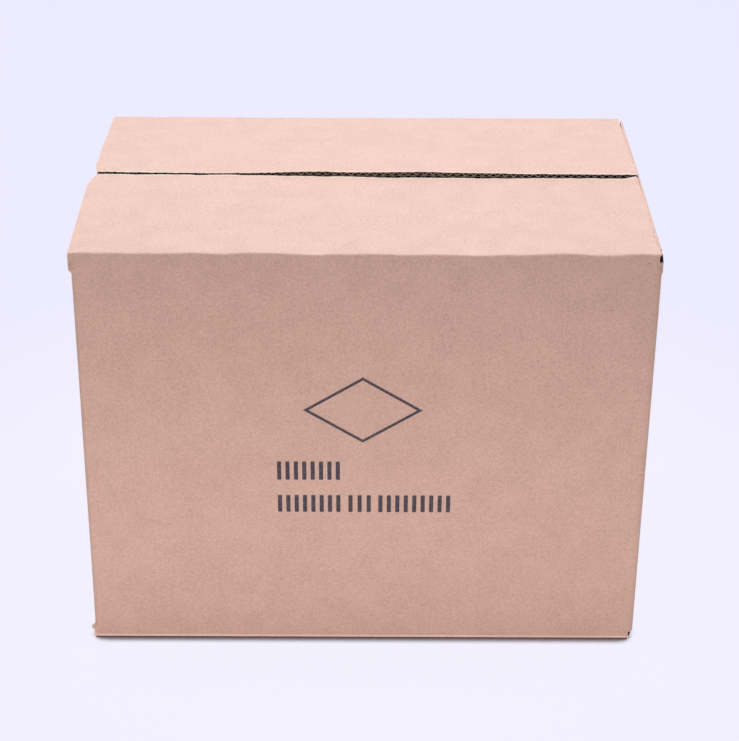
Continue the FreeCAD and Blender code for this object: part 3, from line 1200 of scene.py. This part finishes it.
@dataclass
class Print:
    """The printing on the front: an empty rhombus over two rows of plain upright bars."""

    carton: Carton
    finishes: Finishes
    film: float = 0.06 * MM
    rhombus_centre: tuple[float, float] = (-1.3 * MM, 208.0 * MM)
    rhombus_half: tuple[float, float] = (45.2 * MM, 28.0 * MM)
    rhombus_stroke: float = 2.2 * MM
    bar: float = 3.2 * MM
    gap: float = 3.0 * MM

    def build(self) -> list[bpy.types.Object]:
        """Make each printed mark as a thin film on the front panel."""
        marks = [self.rhombus()]
        rows = (
            ("upper_bars", -66.9, -18.8, 147.0, 163.2),
            ("lower_bars_left", -66.7, -18.5, 118.1, 133.3),
            ("lower_bars_middle", -12.3, 5.0, 118.1, 133.3),
            ("lower_bars_right", 10.8, 66.3, 118.1, 133.3),
        )
        for name, left, right, low, high in rows:
            marks.append(self.bars(name, left * MM, right * MM, low * MM, high * MM))
        for mark in marks:
            mark.data.materials.append(self.finishes.ink)
            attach(mark, "carton")
        return marks

    def rhombus(self) -> bpy.types.Object:
        """Return the outline of a rhombus."""
        clear_selection()
        face = -self.carton.half_width - self.film
        across, up = self.rhombus_half
        bpy.ops.mesh.primitive_circle_add(
            vertices=4, radius=1.0, fill_type="NGON", rotation=(math.pi / 2, 0, 0),
            location=(self.rhombus_centre[0], face, self.rhombus_centre[1]),
        )
        mark = bpy.context.object
        mark.scale = (across, up, 1.0)
        bpy.ops.object.transform_apply(location=True, rotation=True, scale=True)
        mark.name = mark.data.name = "printed_rhombus"
        bpy.ops.object.mode_set(mode="EDIT")
        bpy.ops.mesh.select_mode(type="FACE")
        bpy.ops.mesh.select_all(action="SELECT")
        bpy.ops.mesh.inset(thickness=self.rhombus_stroke, use_even_offset=True)
        bpy.ops.mesh.delete(type="FACE")
        bpy.ops.mesh.select_all(action="SELECT")
        bpy.ops.mesh.extrude_region_move(TRANSFORM_OT_translate={"value": (0, self.film, 0)})
        bpy.ops.mesh.select_all(action="SELECT")
        bpy.ops.mesh.normals_make_consistent(inside=False)
        bpy.ops.object.mode_set(mode="OBJECT")
        return mark

    def bars(self, name: str, left: float, right: float, low: float, high: float) -> bpy.types.Object:
        """Return a row of upright bars that fills a stretch."""
        count = round((right - left + self.gap) / (self.bar + self.gap))
        step = (right - left - self.bar) / (count - 1)
        face = -self.carton.half_width
        first = Workpiece(name, Vector((left, face - self.film, low)), Vector((left + self.bar, face, high)))
        first.pick_edges(lambda one, other: abs(one.y - other.y) > 0.5 * self.film)
        first.bevel(0.6 * MM, 3)
        row = first.object.modifiers.new("row", "ARRAY")
        row.use_relative_offset = False
        row.use_constant_offset = True
        row.constant_offset_displace = (step, 0, 0)
        row.count = count
        first.apply(row)
        return first.object


@dataclass(frozen=True)
class FloorFinish:
    """A pale plain floor that keeps the carton's shadow, with a painted contact shadow where the carton
    meets it.
    """

    colour: Colour = (0.92, 0.86, 0.85)
    seen_near: Colour = (0.900, 0.882, 0.990)
    seen_far: Colour = (0.838, 0.820, 0.985)
    painted_contact_shadow: Colour = (0.075, 0.035, 0.040)
    painted_shadow_reach: float = 14.0 * MM
    shown_share: float = 0.96

    def build(self) -> Material:
        """Return the material."""
        bench = NodeBench("floor")
        bench.shader.inputs["Base Color"].default_value = (*self.colour, 1.0)
        bench.shader.inputs["Roughness"].default_value = 0.9
        rays = bench.add("ShaderNodeLightPath").outputs
        mirrored = bench.sum(rays["Is Glossy Ray"], rays["Is Transmission Ray"])
        shown = bench.sum(rays["Is Camera Ray"], mirrored)
        # painted contact shadow: occlusion leaned towards the back darkens the seen colour near the carton,
        # most in front of it
        shadow_occlusion = bench.add("ShaderNodeAmbientOcclusion", samples=16)
        shadow_occlusion.inputs["Distance"].default_value = self.painted_shadow_reach
        shadow_lean = bench.add("ShaderNodeCombineXYZ")
        shadow_lean.inputs["Y"].default_value = 0.6
        shadow_lean.inputs["Z"].default_value = 0.8
        bench.link(shadow_lean.outputs["Vector"], shadow_occlusion.inputs["Normal"])
        clear = bench.spread(shadow_occlusion.outputs["AO"], 0.3, 0.7)
        distance = bench.add("ShaderNodeVectorMath", operation="LENGTH")
        bench.link(bench.place, distance.inputs[0])
        far = bench.spread(distance.outputs["Value"], 0.22, 0.62)
        glow = bench.add("ShaderNodeEmission")
        plain = bench.mix(far, self.seen_near, self.seen_far)
        bench.link(bench.mix(clear, self.painted_contact_shadow, plain), glow.inputs["Color"])
        blend = bench.add("ShaderNodeMixShader")
        bench.link(bench.times(shown, self.shown_share), blend.inputs[0])
        bench.link(bench.shader.outputs["BSDF"], blend.inputs[1])
        bench.link(glow.outputs["Emission"], blend.inputs[2])
        bench.link(blend.outputs["Shader"], bench.output.inputs["Surface"])
        return bench.material


@dataclass(frozen=True)
class Lamp:
    """A square soft light: its place, the point it faces, the length of its side and its power in watts."""

    name: str
    place: Place
    aim: Place
    side: float
    power: float
    colour: Colour

    def hang(self) -> None:
        """Hang the light and point it."""
        data = bpy.data.lights.new(self.name, "AREA")
        data.size = self.side
        data.energy = self.power
        data.color = self.colour
        lamp = bpy.data.objects.new(self.name, data)
        lamp.visible_camera = False
        bpy.context.scene.collection.objects.link(lamp)
        lamp.location = self.place
        lamp.rotation_euler = (Vector(self.aim) - Vector(self.place)).to_track_quat("-Z", "Y").to_euler()


LAMPS = (
    Lamp("top_light", (0.0, 0.2, 2.0), (0.0, 0.0, 0.2), 1.8, 49.0, (0.81, 0.905, 1.0)),
    Lamp("back_light", (0.0, 2.3, 1.55), (0.0, 0.0, 0.3), 2.0, 16.5, (0.80, 0.92, 1.0)),
    Lamp("front_light", (-0.7, -2.4, 0.75), (0.0, 0.0, 0.1), 1.6, 4.9, (1.0, 0.87, 0.70)),
    Lamp("low_left", (-0.2, -0.44, 0.01), (-0.2, 0.0, 0.01), 0.3, 0.47, (0.90, 0.94, 1.0)),
    Lamp("low_right", (0.17, -0.44, 0.01), (0.17, 0.0, 0.01), 0.3, 0.43, (0.90, 0.94, 1.0)),
)


@dataclass(frozen=True)
class Studio:
    """A plain pale floor, soft light and the camera at the photograph's viewpoint."""

    floor_size: float = 14.0
    world_colour: Colour = (0.93, 0.94, 1.0)
    world_strength: float = 0.34
    camera_place: Place = (3.58 * MM, -1455.7 * MM, 931.8 * MM)
    camera_pitch: float = 27.68
    camera_roll: float = 0.224
    lens: float = 96.76

    def build(self) -> None:
        """Make the floor, the lights, the world and the camera."""
        self.lay_floor()
        for lamp in LAMPS:
            lamp.hang()
        world = bpy.data.worlds.new("studio")
        world.use_nodes = True
        background = world.node_tree.nodes["Background"]
        background.inputs["Color"].default_value = (*self.world_colour, 1.0)
        background.inputs["Strength"].default_value = self.world_strength
        bpy.context.scene.world = world
        bpy.context.scene.view_settings.view_transform = "Standard"
        self.set_camera()

    def lay_floor(self) -> None:
        """Make the floor."""
        clear_selection()
        bpy.ops.mesh.primitive_plane_add(size=self.floor_size, location=(0, 0, 0))
        floor = bpy.context.object
        floor.name = "floor"
        floor.data.materials.append(FloorFinish().build())

    def set_camera(self) -> None:
        """Place the camera at the photograph's viewpoint."""
        data = bpy.data.cameras.new("camera")
        data.lens = self.lens
        data.sensor_width = 36.0
        data.clip_start, data.clip_end = 0.05, 60.0
        camera = bpy.data.objects.new("camera", data)
        bpy.context.scene.collection.objects.link(camera)
        pitch = Matrix.Rotation(math.radians(90.0 - self.camera_pitch), 4, "X")
        roll = Matrix.Rotation(math.radians(self.camera_roll), 4, "Z")
        camera.matrix_world = Matrix.Translation(self.camera_place) @ pitch @ roll
        bpy.context.scene.camera = camera


def report(piece: bpy.types.Object) -> None:
    """Log a finished piece with the count of its triangles."""
    piece.data.calc_loop_triangles()
    log.info("%s: %d triangles", piece.name, len(piece.data.loop_triangles))


def main() -> None:
    """Build the carton's pieces in order, logging each one's triangles, then the studio."""
    logging.basicConfig(level=logging.INFO, format="%(message)s")
    carton = Carton.from_frame()
    finishes = Finishes.build()
    front = LongPanel(
        Side.FRONT, carton, finishes,
        top_ends=(-215.7 * MM, 213.7 * MM), bottom_ends=(-215.6 * MM, 213.6 * MM),
        bottom_cuts=(-215.2 * MM, 211.5 * MM), free_ends=(-209.5 * MM, 212.4 * MM),
        clip_depths=(22.0 * MM, 12.0 * MM), curls=(0.0, 2.0 * MM),
        nicks=((-41.7 * MM, -71.8 * MM), (-80.8 * MM, -101.3 * MM, -108.6 * MM)),
        lifts=tuple(lift * MM for lift in (4.9, 4.6, 4.3, 3.5, 2.8, 2.5, 2.5, 2.6)),
        crease_unevenness=1.6 * MM, lip=1.1 * MM, corner_void=True,
    )
    back = LongPanel(
        Side.BACK, carton, finishes,
        top_ends=(-213.5 * MM, 213.7 * MM), bottom_ends=(-213.0 * MM, 213.0 * MM),
        bottom_cuts=(-211.0 * MM, 211.0 * MM), free_ends=(-213.3 * MM, 211.0 * MM),
        clip_depths=(90.0 * MM, 42.0 * MM), curls=(0.0, 0.0),
        nicks=((-30.0 * MM,), (-62.2 * MM, -87.0 * MM, -105.4 * MM)),
        lifts=tuple(lift * MM for lift in (5.4, 5.5, 5.6, 6.3, 7.0, 6.5, 6.9, 5.7, 5.3, 5.6, 6.3)),
        crease_unevenness=0.3 * MM,
    )
    report(front.build())
    report(back.build())
    left = EndPanel(
        End.LEFT, carton, finishes, crest=0.0, bottom_fold=3.0 * MM,
        bulge=tuple(push * MM for push in (0.2, -0.1, -0.2, -0.3, -0.4, -0.6, -0.7, -0.8, -0.8)),
        shoulder=2.2 * MM, shoulder_end=-105.0 * MM, lean=0.0, ear=3.0 * MM, waist=2.4 * MM,
    )
    right = EndPanel(
        End.RIGHT, carton, finishes, crest=7.0 * MM, bottom_fold=6.0 * MM,
        bulge=tuple(push * MM for push in (0.1, 0.2, 0.4, 0.6, 0.8, 1.0, 1.2, 1.4, 1.4)),
        shoulder=0.7 * MM, shoulder_end=400.0 * MM, lean=0.3 * MM, ear=0.0,
        crest_rises=tuple(rise * MM for rise in (0.0, 0.5, 1.0, 1.7, 3.6, 2.9, 2.0, 1.0, 0.0)),
    )
    report(left.build())
    report(right.build())
    report(GluedTab(carton, finishes).build())
    for mark in Print(carton, finishes).build():
        report(mark)
    Studio().build()


if __name__ == "__main__":
    main()
